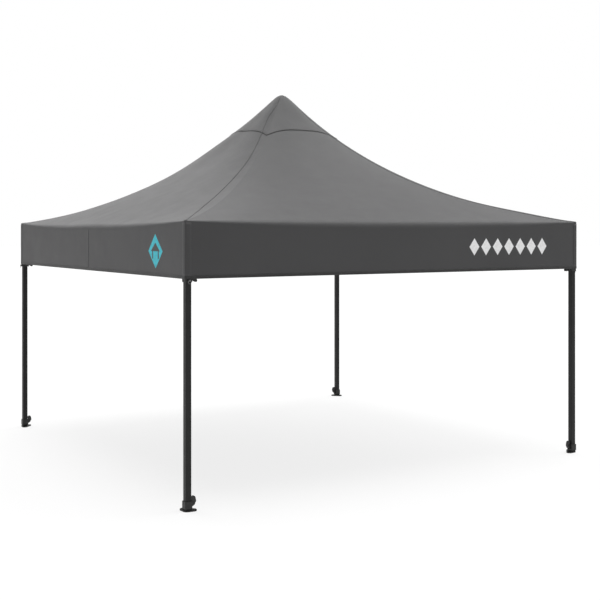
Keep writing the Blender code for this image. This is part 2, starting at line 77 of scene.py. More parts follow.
CANOPY_LOW, CANOPY_HIGH = (Vector(corner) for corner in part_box("canopy"))
HALF = CANOPY_HIGH.x                 # centre to the outside of the valance
HEM_Z = CANOPY_LOW.z
PEAK_Z = CANOPY_HIGH.z
VALANCE = 0.320
EAVE_Z = HEM_Z + VALANCE
CAP_R = 0.020                        # half of the block on top of each leg
LEG_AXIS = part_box("back_right_outer_leg")[1][0] - CAP_R

CROWN = 0.029                        # how far the round crown reaches from the peak
CONTOUR_POWER = 3.0                  # the superellipse that the roof's level lines turn into above the eaves
SQUARE_POWER = 4.0                   # how soon they do
RISE = ((1, 0.263), (2, 0.546), (5, 0.191))   # powers and shares of a hip's rise from corner to peak
PANEL_SAG = 0.020                    # how far a panel hangs under its hips, half way up
FULLER = (                           # where the sewn roof stands fuller: direction, share out, reach, height
    ((-1, 1), 0.26, 0.14, 0.020),
    ((1, -1), 0.83, 0.15, 0.013),
)
ROOF_WAVES = (                       # its unevenness: waves to the metre, height, start
    (1.3, 0.0050, 4.0),
    (4.1, 0.0014, 9.0),
)
VALANCE_IN = 0.0022                  # how far the loose valance hangs inside its plane
VALANCE_WAVES = (                    # its ripples: waves to the metre along and down, height, start
    (1.9, 1.2, 0.0040, 2.0),
    (6.5, 2.5, 0.0014, 5.0),
)
CLOTH = 0.0008                       # thickness of the cloth
CORNER_R = 0.006                     # radius of the valance's upright corners
EAVE_TIGHT = 0.004                   # how far the eave's bend reaches at a corner
EAVE_SOFT = (0.045, 0.045, 0.032, 0.048)  # and half way along each side: right, back, left and front
EAVE_DIP = (0.008, 0.008, 0.021, 0.002)   # how far each side's eave hangs under the line between its corners
EAVE_LEAN = (-0.2, 0.1, -0.20, 0.15)      # and how much more so towards the side's later corner
BRACKET_HANG = 0.017                 # the most it hangs where it rests on a middle bracket
PLEATS = 11                          # folds along a side, and round the roof, of the folded canopy
PLEAT = 0.022                        # how far the gathered valance lags behind the legs
ROOF_PLEAT = 0.09                    # how far the roof's folds lag behind the mast head
SEAM_SKEW_HIGH = 0.046               # how far the hips' seams lie beside the diagonals near the crown
SEAM_SKEW_LOW = 0.035                # and how much further near the eaves
COLUMNS = 64                         # columns of the canopy's mesh on each side
SIDE_STEP = 4.0                      # from one side's middle to the next one's in the canopy's UVs
ROOF_ROWS = 64
EAVE_ROWS = 8
VALANCE_ROWS = 16

# What is sewn to it
STITCH = 0.0045                      # length of a stitch with its gap
THREAD = 0.0009
SEAM_STITCH = 0.0022                 # from a seam's edge to its stitches
HEM_STITCH = 0.0040
HEM_WIDTH = 0.019
SEAM_WIDTH = 0.0048                  # half of a hip's seam
SEAM_FLARE = 0.004                   # how much wider it ends at the corner
SEAM_START = 0.0135                  # where it starts and ends, as shares of the half side
SEAM_END = 0.9965
SEAM_ROWS = 90
MID_SEAM = 0.0065                    # half of the seam down the middle of a valance
MID_SEAM_ROWS = 24
STRIP_CLEAR = 0.0004                 # from the cloth to a strip's edge
STRIP_COLUMNS = 6
CAP_LIFT = 0.0008                    # from the roof to the layer over its peak
CAP_ROWS = 22
CAP_EDGE_ROWS = 5
CAP_EDGE = 0.002                     # how far its edge slopes down to the roof
CAP_BINDING = 0.0036                 # half of the binding along that edge
FACING = 0.034                       # how far a facing reaches on each side of an upright corner
FACING_SHARES = (0.06, 0.12, 0.25, 0.6, 0.97, 1)   # its columns, as shares of that
FACING_ROWS = 20
FACING_TOP = EAVE_Z - 0.010
FACING_LOW = HEM_Z + 0.018

# What is added to the CAD pieces
SOFT_EDGE = 0.0006
SOFT_EDGED = ("collar", "lever", "slider", "inner_leg", "hub", "bracket", "pull_pin")
INNER_HALF = 0.0140                  # half of the inner leg
HOLE_R = 0.0042
HOLE_DEPTH = 0.0004
HOLE_START = 0.30                    # height of the lowest hole
HOLE_PITCH = 0.15
HOLE_COUNT = 6
SPRING_R = 0.0118
SPRING_WIRE = 0.0009                 # half of the wire
SPRING_LOW = 2.4615
SPRING_HIGH = 2.5105
SPRING_TURNS = 7
SPRING_STEPS = 20                    # steps to a turn
SPRING_SIDES = 6                     # sides of the wire

CAMERA_PLACE = (-3.9975, -6.7506, 1.5478)
CAMERA_TURN = -31.64                 # degrees about the upright, from looking along +Y
CAMERA_LENS = 63.4
CAMERA_SENSOR = 36
CAMERA_SHIFT = -0.117

STUDIO_GLOW = 0.236                  # what the studio's walls give
LAMPS = (                            # name, direction that it shines from, strength, width in degrees
    ("overhead", (0, 0, 1), 1.785, 40),
    ("right", (1, 0, 0.8), 1.85, 60),
    ("back", (0, 1, 0.8), 1.10, 60),
    ("low_left", (-1, 0, 0.15), 0.456, 50),
)
FLOOR_GLOW = 0.78
FLOOR_GREY = 0.19
FLOOR_R = 90
CLOTH_TINT = (0.01, 0.0, 0.035)      # how far its red, green and blue stand above its grey, as shares
CLOTH_VARIATION = 0.07

# Printed marks, as lengths along the valance and heights
PENNANT_START = 0.52                 # along the front and the back, from the middle
PENNANT_COUNT = 7
PENNANT_PITCH = 0.10
PENNANT_HALF = (0.042, 0.056)
PENNANT_Z = 1.437
BADGE_ALONG = 1.097                  # along the left and the right, from the middle
BADGE_Z = 1.424
BADGE_HALF = 0.100

OUTWARD = {"right": (1, 0), "back": (0, 1), "left": (-1, 0), "front": (0, -1)}
LEGS = {"back_right": (1, 1), "back_left": (-1, 1), "front_left": (-1, -1), "front_right": (1, -1)}


# ---- materials ----


class Surface:
    """A Principled material and short ways to add nodes to it."""

    def __init__(self, name, roughness, metallic=0.0, specular=0.5):
        self.material = bpy.data.materials.new(name)
        self.material.use_nodes = True
        self.tree = self.material.node_tree
        self.shader = self.tree.nodes["Principled BSDF"]
        self.shader.inputs["Roughness"].default_value = roughness
        self.shader.inputs["Metallic"].default_value = metallic
        self.shader.inputs["Specular IOR Level"].default_value = specular

    def node(self, kind, **values):
        made = self.tree.nodes.new(kind)
        for key, value in values.items():
            if key in made.inputs:
                made.inputs[key].default_value = value
            else:
                setattr(made, key, value)
        return made

    def link(self, output, target):
        self.tree.links.new(output, target)

    def place(self, kind):
        return self.node("ShaderNodeTexCoord").outputs[kind]

    def noise(self, scale, detail, stretch=None):
        made = self.node("ShaderNodeTexNoise", Scale=scale, Detail=detail)
        start = self.place("Object")
        if stretch:
            mapping = self.node("ShaderNodeMapping", Scale=stretch)
            self.link(start, mapping.inputs["Vector"])
            start = mapping.outputs["Vector"]
        self.link(start, made.inputs["Vector"])
        return made.outputs["Fac"]

    def ramp(self, value, stops):
        made = self.node("ShaderNodeValToRGB")
        points = made.color_ramp.elements
        while len(points) < len(stops):
            points.new(0.5)
        for point, (where, colour) in zip(points, stops):
            point.position = where
            point.color = (*colour, 1)
        self.link(value, made.inputs["Fac"])
        return made.outputs["Color"]

    def between(self, value, low, high):
        made = self.node("ShaderNodeMapRange")
        made.inputs["To Min"].default_value = low
        made.inputs["To Max"].default_value = high
        self.link(value, made.inputs["Value"])
        return made.outputs["Result"]

    def maths(self, operation, a, b):
        made = self.node("ShaderNodeMath", operation=operation)
        for socket, value in zip(made.inputs, (a, b)):
            if isinstance(value, (int, float)):
                socket.default_value = value
            else:
                self.link(value, socket)
        return made.outputs["Value"]

    def bump(self, height, distance, strength, after=None):
        made = self.node("ShaderNodeBump", Distance=distance, Strength=strength)
        self.link(height, made.inputs["Height"])
        if after:
            self.link(after, made.inputs["Normal"])
        return made.outputs["Normal"]

    def colour(self, output):
        self.link(output, self.shader.inputs["Base Color"])

    def roughness(self, output):
        self.link(output, self.shader.inputs["Roughness"])

    def normal(self, output):
        self.link(output, self.shader.inputs["Normal"])


def grey(level, tint=(0.0, 0.0, 0.0)):
    return tuple(level * (1 + t) for t in tint)


def weave(surface, pitch, distance, strength):
    """A plain weave over the cloth's own lengths, in metres, as a bump."""
    lines = []
    for axis in ("X", "Y"):
        made = surface.node("ShaderNodeTexWave", wave_type="BANDS", bands_direction=axis, wave_profile="SIN")
        # A wave texture at scale 1 has a period of pi / 10.
        made.inputs["Scale"].default_value = math.pi / (10 * pitch)
        surface.link(surface.place("UV"), made.inputs["Vector"])
        lines.append(made.outputs["Fac"])
    woven = surface.maths("MULTIPLY", *lines)
    return surface.bump(woven, distance, strength)


def cloth_colour(surface, level):
    """Broad blotches and a fine speckle round one grey."""
    blotches = surface.maths("MULTIPLY", surface.noise(2.2, 4.0), 0.75)
    threads = surface.maths("MULTIPLY", surface.noise(420.0, 2.0), 0.25)
    low, high = (grey(level * (1 + change), CLOTH_TINT) for change in (-CLOTH_VARIATION, CLOTH_VARIATION))
    return surface.ramp(surface.maths("ADD", blotches, threads), [(0.3, low), (0.7, high)])


def cloth_surface(name, level, roughness, pitch=0.0011):
    """Coated polyester: a fine plain weave, a dull gloss and soft unevenness."""
    surface = Surface(name, roughness, specular=0.5)
    surface.shader.inputs["Sheen Weight"].default_value = 0.08
    surface.shader.inputs["Sheen Roughness"].default_value = 0.5
    surface.cloth = cloth_colour(surface, level)
    surface.colour(surface.cloth)
    surface.roughness(surface.between(surface.noise(9.0, 5.0), roughness - 0.06, roughness + 0.06))
    fine = weave(surface, pitch, 0.0002, 0.35)
    surface.normal(surface.bump(surface.noise(5.0, 6.0), 0.004, 0.35, after=fine))
    return surface


def printed_cloth_material(name, level, roughness):
    """The canopy's cloth with its two plain marks: a row of white diamonds on the front and the back, and a
    teal diamond with a small tent cut out of it on the left and the right."""
    surface = cloth_surface(name, level, roughness)
    place = surface.node("ShaderNodeUVMap", uv_map="valance").outputs["UV"]
    split = surface.node("ShaderNodeSeparateXYZ")
    surface.link(place, split.inputs["Vector"])
    along, height = split.outputs["X"], split.outputs["Y"]
    maths = surface.maths

    def away(value, middle):
        return maths("ABSOLUTE", maths("SUBTRACT", value, middle), 0)

    def both(a, b):
        return maths("MULTIPLY", a, b)

    # In every two sides, the right's or left's middle is at 0 and the back's or front's one step further.
    round_pair = maths("FLOORED_MODULO", along, 2 * SIDE_STEP)
    row_start = SIDE_STEP + PENNANT_START
    in_row = maths("SUBTRACT", round_pair, row_start)
    in_cell = away(maths("FLOORED_MODULO", in_row, PENNANT_PITCH), PENNANT_PITCH / 2)
    diamond = maths(
        "ADD",
        maths("DIVIDE", in_cell, PENNANT_HALF[0]),
        maths("DIVIDE", away(height, PENNANT_Z), PENNANT_HALF[1]),
    )
    row_half = PENNANT_COUNT * PENNANT_PITCH / 2
    row = both(maths("LESS_THAN", diamond, 1.0), maths("LESS_THAN", away(in_row, row_half), row_half))

    beside = away(round_pair, BADGE_ALONG)
    above = maths("SUBTRACT", height, BADGE_Z)
    badge = maths("LESS_THAN", maths("ADD", beside, maths("ABSOLUTE", above, 0)), BADGE_HALF)
    slope = maths("ADD", maths("MULTIPLY", beside, 0.8), above)
    roof = both(maths("LESS_THAN", slope, BADGE_HALF * 0.50), maths("GREATER_THAN", above, 0.0))
    post = maths("LESS_THAN", away(beside, BADGE_HALF * 0.40), BADGE_HALF * 0.07)
    post = both(post, maths("LESS_THAN", away(above, -BADGE_HALF * 0.20), BADGE_HALF * 0.24))
    tent = maths("MINIMUM", maths("ADD", roof, post), 1.0)
    badge = both(badge, maths("SUBTRACT", 1.0, tent))

    ink = surface.noise(60.0, 5.0)
    white = surface.ramp(ink, [(0.32, (0.82, 0.82, 0.82)), (0.55, (0.93, 0.93, 0.93))])
    teal = surface.ramp(ink, [(0.32, (0.015, 0.40, 0.49)), (0.55, (0.03, 0.52, 0.62))])
    colour = surface.cloth
    for mask, inked in ((row, white), (badge, teal)):
        mixed = surface.node("ShaderNodeMix", data_type="RGBA")
        surface.link(mask, mixed.inputs["Factor"])
        surface.link(colour, mixed.inputs[6])
        surface.link(inked, mixed.inputs[7])
        colour = mixed.outputs[2]
    surface.colour(colour)
    return surface.material


def stitched(surface, rows, thread):
    """Rows of stitches along a strip, at the given places across it, in metres."""
    split = surface.node("ShaderNodeSeparateXYZ")
    surface.link(surface.place("UV"), split.inputs["Vector"])
    across, along = split.outputs["X"], split.outputs["Y"]
    maths = surface.maths
    on = maths("LESS_THAN", maths("FLOORED_MODULO", along, STITCH), STITCH * 0.72)
    beside = [maths("ABSOLUTE", maths("SUBTRACT", across, row), 0) for row in rows]
    nearest = maths("MINIMUM", beside[0], beside[-1])
    mask = maths("MULTIPLY", on, maths("LESS_THAN", nearest, THREAD / 2))
    mixed = surface.node("ShaderNodeMix", data_type="RGBA")
    surface.link(mask, mixed.inputs["Factor"])
    surface.link(surface.cloth, mixed.inputs[6])
    mixed.inputs[7].default_value = (*grey(thread), 1)
    surface.colour(mixed.outputs[2])
    under = surface.shader.inputs["Normal"].links[0].from_socket
    surface.normal(surface.bump(mask, 0.0004, 0.8, after=under))
    return surface.material


def webbing_surface(name, level):
    """Woven tape: a coarse weave in the strip's own lengths."""
    surface = Surface(name, 0.8, specular=0.3)
    surface.shader.inputs["Sheen Weight"].default_value = 0.2
    threads = surface.noise(300.0, 2.0)
    surface.cloth = surface.ramp(threads, [(0.3, grey(level * 0.8)), (0.7, grey(level * 1.2))])
    surface.colour(surface.cloth)
    surface.normal(weave(surface, 0.0016, 0.0004, 0.6))
    return surface


def powder_coat(name, level):
    """Baked paint with a faint orange peel, a little paler where it has been handled."""
    surface = Surface(name, 0.5, specular=0.22)
    handled = surface.noise(14.0, 6.0)
    surface.colour(surface.ramp(handled, [(0.35, grey(level)), (0.75, grey(level * 1.35))]))
    surface.roughness(surface.between(surface.noise(35.0, 6.0), 0.34, 0.52))
    peel = surface.bump(surface.noise(700.0, 2.0), 0.0001, 0.35)
    surface.normal(surface.bump(surface.noise(25.0, 2.0), 0.0004, 0.15, after=peel))
    return surface.material


def moulded_plastic(name, level, roughness=0.5):
    """Glass-filled nylon with a spark-eroded grain and a few scuffs."""
    surface = Surface(name, roughness, specular=0.45)
    scuffs = surface.noise(45.0, 8.0, stretch=(1.0, 1.0, 5.0))
    surface.colour(surface.ramp(scuffs, [(0.45, grey(level)), (0.72, grey(level * 1.9))]))
    surface.roughness(surface.between(surface.noise(80.0, 4.0), roughness - 0.1, roughness + 0.1))
    surface.normal(surface.bump(surface.noise(1500.0, 3.0), 0.00012, 0.4))
    return surface.material


def bright_metal(name, level, roughness, brushed):
    """Bare metal whose fine grain is stretched by the given scales."""
    surface = Surface(name, roughness, metallic=1.0)
    grain = surface.noise(260.0, 4.0, stretch=brushed)
    surface.colour(surface.ramp(grain, [(0.3, grey(level * 0.85)), (0.7, grey(level))]))
    surface.roughness(surface.between(surface.noise(50.0, 4.0), roughness - 0.08, roughness + 0.1))
    surface.normal(surface.bump(grain, 0.00005, 0.3))
    return surface.material


SEAM_STITCHES = (SEAM_STITCH, SEAM_WIDTH * 2 - SEAM_STITCH)
MID_STITCHES = (SEAM_STITCH, MID_SEAM * 2 - SEAM_STITCH)
MATERIALS = {
    "cloth": printed_cloth_material("canopy_cloth", 0.042, 0.55),
    "lining": cloth_surface("canopy_inside", 0.045, 0.62).material,
    "cap_cloth": cloth_surface("crown_cloth", 0.042, 0.55).material,
    "tape": cloth_surface("facing_cloth", 0.040, 0.60, pitch=0.0014).material,
    "hip_tape": stitched(cloth_surface("seam_tape", 0.030, 0.60), SEAM_STITCHES, 0.05),
    "mid_tape": stitched(cloth_surface("mid_seam_cloth", 0.045, 0.58), MID_STITCHES, 0.055),
    "crown_tape": webbing_surface("crown_binding", 0.032).material,
    "hem": stitched(webbing_surface("hem_binding", 0.031), (HEM_STITCH,), 0.06),
    "tube": powder_coat("black_powder_coat", 0.0150),
    # the holes: near-black discs of painted shade in place of the hollow inside the tube
    "hole": moulded_plastic("painted_hole_shade", 0.004, 0.8),
    "nylon": moulded_plastic("black_nylon", 0.012),
    "lever": moulded_plastic("black_lever_nylon", 0.016, 0.38),
    "pin": bright_metal("dull_steel_pin", 0.24, 0.40, (1.0, 1.0, 6.0)),
    "spring": bright_metal("spring_steel", 0.48, 0.30, (1.0, 1.0, 1.0)),
}


# ---- the canopy's surface ----


def rounded(distance, reach):
    """A distance from 0 to 1 whose start is rounded off over the given reach."""
    return (math.hypot(distance, reach) - reach) / (math.hypot(1, reach) - reach)


def roof_height(x, y):
    """The roof's outer face: a skin that steepens towards its peak, with level lines that are square at the
    eaves and soft at the hips above them, and hangs a little half way up each side."""
    big, small = max(abs(x), abs(y)), min(abs(x), abs(y))
    u = min(big / HALF, 1)
    superellipse = ((big**CONTOUR_POWER + small**CONTOUR_POWER) / 2) ** (1 / CONTOUR_POWER)
    out = big + (1 - u**SQUARE_POWER) * (superellipse - big)
    t = 1 - rounded(out / HALF, CROWN / HALF)
    rise = sum(share * t**power for power, share in RISE)
    off_hip = 1 - (small / big) ** 2 if big > 0 else 0
    sag = PANEL_SAG * off_hip * math.sin(math.pi * u) ** 2
    for (dx, dy), share, reach, height in FULLER:
        towards = max((x * dx + y * dy) / max(math.sqrt(2) * math.hypot(x, y), 1e-9), 0)
        sag -= height * towards**4 * math.exp(-(((u - share) / reach) ** 2)) * ease(u, 0, 0.08)
    return EAVE_Z + (PEAK_Z - EAVE_Z) * rise - sag


def ease(value, start, end):
    """0 before start, 1 after end, smooth between."""
    t = min(max((value - start) / (end - start), 0), 1)
    return t * t * (3 - 2 * t)


def middle_share(v):
    """1 along most of a side, 0 at its corners."""
    return 1 - abs(v) ** 2.5


def dip(side_index, v, u):
    """How far the cloth hangs under the straight eave, between the brackets, fading up the roof."""
    hang = EAVE_DIP[side_index] * (1 + EAVE_LEAN[side_index] * v)
    hang -= max(hang - BRACKET_HANG, 0) * (1 - ease(abs(v), 0.03, 0.30))
    return hang * middle_share(v) * ease(u, 0.72, 1.0)


def roof_wrinkle(x, y, u):
    """Soft unevenness of a stretched panel, none at the eave or the crown."""
    calm = ease(u, 0.10, 0.35) * ease(1 - u, 0.0, 0.12)
    return calm * sum(
        height * noise.noise(Vector((x * pitch, y * pitch, start))) for pitch, height, start in ROOF_WAVES
    )


def valance_ripple(side_index, v, depth):
    """How far the valance stands in from its plane: soft upright ripples that grow towards the hem."""
    free = (1 - ease(abs(v), 0.78, 0.96)) * ease(depth, 0.0, 0.28)
    along = v * HALF + 7.3 * side_index   # far enough apart for each side to have ripples of its own
    inward = VALANCE_IN
    for pitch, fall, height, start in VALANCE_WAVES:
        inward += height * noise.noise(Vector((along * pitch, depth * fall, start + side_index)))
    return free * inward


def round_corner(n, t):
    """A place out from a side and along it, moved in where the corners are rounded in plan."""
    inner = HALF - CORNER_R
    a, b = n - inner, abs(t) - inner
    if a <= 0 or b <= 0:
        return n, t
    shrink = max(a, b) / math.hypot(a, b)
    return inner + a * shrink, math.copysign(inner + b * shrink, t)


def turned(n, t, z, side_index):
    """From a side's own axes, outward and along, to the frame that all pieces share."""
    x, y = ((n, t), (-t, n), (-n, -t), (t, -n))[side_index]
    return Vector((x, y, z))


def eave_bend(side_index, v):
    """The bend between roof and valance: its first point, corner and last point as (n, z)."""
    reach = EAVE_TIGHT + (EAVE_SOFT[side_index] - EAVE_TIGHT) * middle_share(v)
    step = 0.002

    def height(n):
        x, y, _ = turned(n, v * n, 0, side_index)
        return roof_height(x, y)

    slope = (height(HALF - reach - step) - height(HALF - reach)) / step
    run = reach / math.hypot(1, slope)
    start_z = height(HALF - run) - dip(side_index, v, 1 - run / HALF)
    corner_z = start_z - slope * run
    return (HALF - run, start_z), (HALF, corner_z), (HALF, corner_z - reach)


def canopy_column(side_index, v):
    """The points down one column from the peak to the hem, as (point, place along the side, length down)."""
    start, corner, end = eave_bend(side_index, v)
    points = []
    for k in range(ROOF_ROWS + 1):
        share = (k / ROOF_ROWS) ** 1.25
        n = start[0] * share
        u = n / HALF
        t = v * n
        x, y, _ = turned(n, t, 0, side_index)
        z = roof_height(x, y) - dip(side_index, v, u) + roof_wrinkle(x, y, u) * (1 - v**8)
        points.append((n, t, z))
    for k in range(1, EAVE_ROWS + 1):
        s = k / EAVE_ROWS
        n, z = (
            (1 - s) ** 2 * start[i] + 2 * s * (1 - s) * corner[i] + s * s * end[i] for i in (0, 1)
        )
        points.append((n, v * n, z))
    drop = end[1] - HEM_Z
    for k in range(1, VALANCE_ROWS + 1):
        z = end[1] - drop * k / VALANCE_ROWS
        n = HALF - valance_ripple(side_index, v, end[1] - z)
        points.append((n, v * HALF, z))
    made = []
    length = 0.0
    before = None
    for n, t, z in points:
        n, t = round_corner(n, t)
        point = turned(n, t, z, side_index)
        if before is not None:
            length += (point - before).length
        before = point
        made.append((point, t, length))
    return made


def mesh_object(name, bm, materials, smooth=True):
    mesh = bpy.data.meshes.new(name)
    bm.to_mesh(mesh)
    bm.free()
    if smooth:
        mesh.shade_smooth()
    for key in materials:
        mesh.materials.append(MATERIALS[key])
    made = bpy.data.objects.new(name, mesh)
    bpy.context.scene.collection.objects.link(made)
    return made


def side_shares():
    """Shares along a side from its -Y to its +Y end, closest together at the corners."""
    return [math.sin(math.pi / 2 * (2 * k / COLUMNS - 1)) for k in range(COLUMNS + 1)]


# ---- cloth that folds with the frame ----


def fold_shares(point):
    """How far each moving body carries a point of the canopy: the roof and valance shrink with the legs, and
    the peak comes down with the mast head. Some of the cloth lags behind, so that it gathers into pleats."""
    x, y = point.x / HALF, point.y / HALF
    _, v, _ = side_of(point.x, point.y)
    fullness = ease(max(abs(x), abs(y)), 0.5, 1.0) * (1 - v**8)
    below = ease(EAVE_Z - point.z, -0.05, VALANCE)
    gathered = 1 - PLEAT * fullness * (0.35 + 0.65 * below) * (0.5 + 0.5 * math.cos(PLEATS * math.pi * v))
    shares = {}
    for leg, (sx, sy) in LEGS.items():
        shares[f"{leg}_leg"] = gathered * min(max(x * sx, 0), 1) * min(max(y * sy, 0), 1)
    for side, (ox, oy) in OUTWARD.items():
        outward = min(max(x * ox + y * oy, 0), 1)
        across = min(abs(x * oy) + abs(y * ox), 1)
        shares[f"{side}_upper_mid_bracket"] = gathered * outward * (1 - across)
    height = min(max((point.z - EAVE_Z) / (PEAK_Z - EAVE_Z), 0), 1)
    fold = 0.5 + 0.5 * math.cos(PLEATS * math.atan2(point.y, point.x))
    shares["mast_head"] = height * (1 - ROOF_PLEAT * fold * ease(1 - height, 0.0, 0.3))
    return shares


def fold_with_frame(piece):
    """Hooks the piece to the bodies that carry the canopy."""
    shares = [fold_shares(vertex.co) for vertex in piece.data.vertices]
    for body in shares[0]:
        group = piece.vertex_groups.new(name=body)
        for index, share in enumerate(shares):
            if share[body] > 0:
                group.add([index], share[body], "REPLACE")
        hook = piece.modifiers.new(body, "HOOK")
        hook.object = frame["bodies"][body]
        hook.vertex_group = body
        hook.matrix_inverse = Matrix.Identity(4)
    return piece


def sewn(piece, thickness):
    """A piece of the canopy: it folds with the frame, and its last material is the one on its inside."""
    fold_with_frame(piece)
    solid = piece.modifiers.new("thickness", "SOLIDIFY")
    solid.thickness = thickness
    solid.offset = -1
    solid.material_offset = len(piece.data.materials) - 1
    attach(piece, "upper_frame")
    return piece


def make_canopy():
    """Roof and valance as one cloth, in columns from the peak to the hem."""
    bm = bmesh.new()
    uv = bm.loops.layers.uv.new("cloth")
    valance_uv = bm.loops.layers.uv.new("valance")
    columns = []
    for side_index in range(4):
        for v in side_shares()[:-1]:
            columns.append((side_index, canopy_column(side_index, v)))
    ends = [canopy_column(side_index, 1.0) for side_index in range(4)]
    first = columns[0][1]
    peak = bm.verts.new(first[0][0])
    verts = [[peak] + [bm.verts.new(point) for point, _, _ in column[1:]] for _, column in columns]
    for c, (side_index, column) in enumerate(columns):
        after = (c + 1) % len(columns)
        next_side, next_column = columns[after]
        beside = next_column if next_side == side_index else ends[side_index]
        for r in range(len(first) - 1):
            corners = [(verts[c][r], column[r]), (verts[c][r + 1], column[r + 1])]
            corners.append((verts[after][r + 1], beside[r + 1]))
            if r > 0:
                corners.append((verts[after][r], beside[r]))
            face = bm.faces.new([vert for vert, _ in corners])
            for loop, (_, (point, along, down)) in zip(face.loops, corners):
                loop[uv].uv = (along + SIDE_STEP * side_index, down)
                loop[valance_uv].uv = (along + SIDE_STEP * side_index, point.z)
    bmesh.ops.recalc_face_normals(bm, faces=bm.faces)
    if sum(face.normal.z for face in bm.faces) < 0:
        bmesh.ops.reverse_faces(bm, faces=bm.faces)
    canopy = mesh_object("canopy_cloth", bm, ["cloth", "lining"])
    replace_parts(sewn(canopy, CLOTH), "canopy")
    return canopy


# ---- strips sewn to the canopy ----


def surface_point(x, y, lift):
    """A point of the roof, lifted off it along its normal."""
    step = 0.003

    def height(px, py):
        side_index, v, big = side_of(px, py)
        u = big / HALF
        return roof_height(px, py) - dip(side_index, v, u) + roof_wrinkle(px, py, u) * (1 - v**8)

    z = height(x, y)
    slope_x = (height(x + step, y) - height(x - step, y)) / (2 * step)
    slope_y = (height(x, y + step) - height(x, y - step)) / (2 * step)
    return Vector((x, y, z)) + lift * Vector((-slope_x, -slope_y, 1)).normalized()


def side_of(x, y):
    """Which side a point of the plan is on, its share along it, and its distance out."""
    big = max(abs(x), abs(y), 1e-9)
    if abs(x) >= abs(y):
        side_index = 0 if x >= 0 else 2
        along = y if x >= 0 else -y
    else:
        side_index = 1 if y >= 0 else 3
        along = -x if y >= 0 else x
    return side_index, along / big, big


def ribbon(name, lines, key, closed=False):
    """A strip through rows of points, each row running across it. UVs are in metres across and along."""
    bm = bmesh.new()
    uv = bm.loops.layers.uv.new("cloth")
    rows = [[bm.verts.new(point) for point in line] for line in lines]
    along = [0.0]
    for before, line in zip(lines, lines[1:]):
        along.append(along[-1] + (line[0] - before[0]).length)
    spans = list(range(len(rows) - 1)) + ([len(rows) - 1] if closed else [])
    for k in spans:
        after = (k + 1) % len(rows)
        end = along[k + 1] if k + 1 < len(along) else along[k] + (lines[0][0] - lines[k][0]).length
        across = 0.0
        for j in range(len(rows[k]) - 1):
            width = (lines[k][j + 1] - lines[k][j]).length
            face = bm.faces.new([rows[k][j], rows[after][j], rows[after][j + 1], rows[k][j + 1]])
            places = [(across, along[k]), (across, end), (across + width, end), (across + width, along[k])]
            for loop, place in zip(face.loops, places):
                loop[uv].uv = place
            across += width
    return mesh_object(name, bm, [key])


def strip_profile(half_width, height):
    """Offsets across a strip and lifts off the cloth: a flat-topped strip with rounded edges."""
    return [
        (half_width * s, STRIP_CLEAR + height * (1 - s**4))
        for s in (2 * k / STRIP_COLUMNS - 1 for k in range(STRIP_COLUMNS + 1))
    ]


def seam_point(leg, along, across, lift):
    """A point of a hip's seam, which lies beside the diagonal because the roof is sewn a little skewed."""
    sx, sy = LEGS[leg]
    s = along / HALF
    skew = SEAM_SKEW_HIGH * ease(s, 0.04, 0.12) + SEAM_SKEW_LOW * ease(s, 0.25, 0.62)
    skew *= 1 - max((s - 0.68) / 0.32, 0) ** 2
    diagonal = Vector((sx, sy))
    clockwise = Vector((sy, -sx)) / math.sqrt(2)
    x, y = diagonal * along + clockwise * (skew + across)
    return surface_point(x, y, lift)


def make_hip_seam(leg):
    """The felled seam along a hip, from the peak to the corner."""
    lines = []
    for k in range(SEAM_ROWS + 1):
        along = HALF * (SEAM_START + (SEAM_END - SEAM_START) * k / SEAM_ROWS)
        width = SEAM_WIDTH + SEAM_FLARE * ease(along / HALF, 0.9, 1.0)
        lines.append([seam_point(leg, along, offset, lift) for offset, lift in strip_profile(width, 0.0012)])
    seam = ribbon(f"{leg}_hip_seam", lines, "hip_tape")
    return sewn(seam, 0.0006)


def crown_line(v):
    """How far out the crown cap's edge runs, as a share of the half side."""
    return 0.204 - 0.007 * v * v


def make_crown_cap():
    """The second layer over the peak, hemmed along its edge."""
    bm = bmesh.new()
    uv = bm.loops.layers.uv.new("cloth")
    rows = CAP_ROWS + CAP_EDGE_ROWS
    columns = []
    for side_index in range(4):
        for v in side_shares()[:-1:2]:
            edge = crown_line(v) * HALF
            line = []
            for k in range(1, rows + 1):
                s = max(k - CAP_ROWS, 0) / CAP_EDGE_ROWS
                n = edge * min(k / CAP_ROWS, 1) ** 1.1 + CAP_EDGE * s
                x, y, _ = turned(n, v * n, 0, side_index)
                line.append(surface_point(x, y, CAP_LIFT * (1 - s)))
            columns.append(line)
    peak = bm.verts.new(surface_point(0, 0, CAP_LIFT))
    verts = [[peak] + [bm.verts.new(point) for point in line] for line in columns]
    for c in range(len(verts)):
        after = (c + 1) % len(verts)
        for r in range(rows):
            corners = [verts[c][r], verts[c][r + 1], verts[after][r + 1]]
            if r > 0:
                corners.append(verts[after][r])
            face = bm.faces.new(corners)
            for loop in face.loops:
                loop[uv].uv = (loop.vert.co.x, loop.vert.co.y)
    bmesh.ops.recalc_face_normals(bm, faces=bm.faces)
    cap = mesh_object("crown_cap", bm, ["cap_cloth"])
    return sewn(cap, 0.0005)


def make_crown_hem():
    """The binding along the crown cap's edge."""
    lines = []
    for side_index in range(4):
        for v in side_shares()[:-1]:
            edge = crown_line(v) * HALF
            line = []
            for offset, lift in strip_profile(CAP_BINDING, 0.0008):
                x, y, _ = turned(edge + offset, v * (edge + offset), 0, side_index)
                line.append(surface_point(x, y, lift + CAP_LIFT))
            lines.append(line)
    return sewn(ribbon("crown_hem", lines, "crown_tape", closed=True), 0.0005)


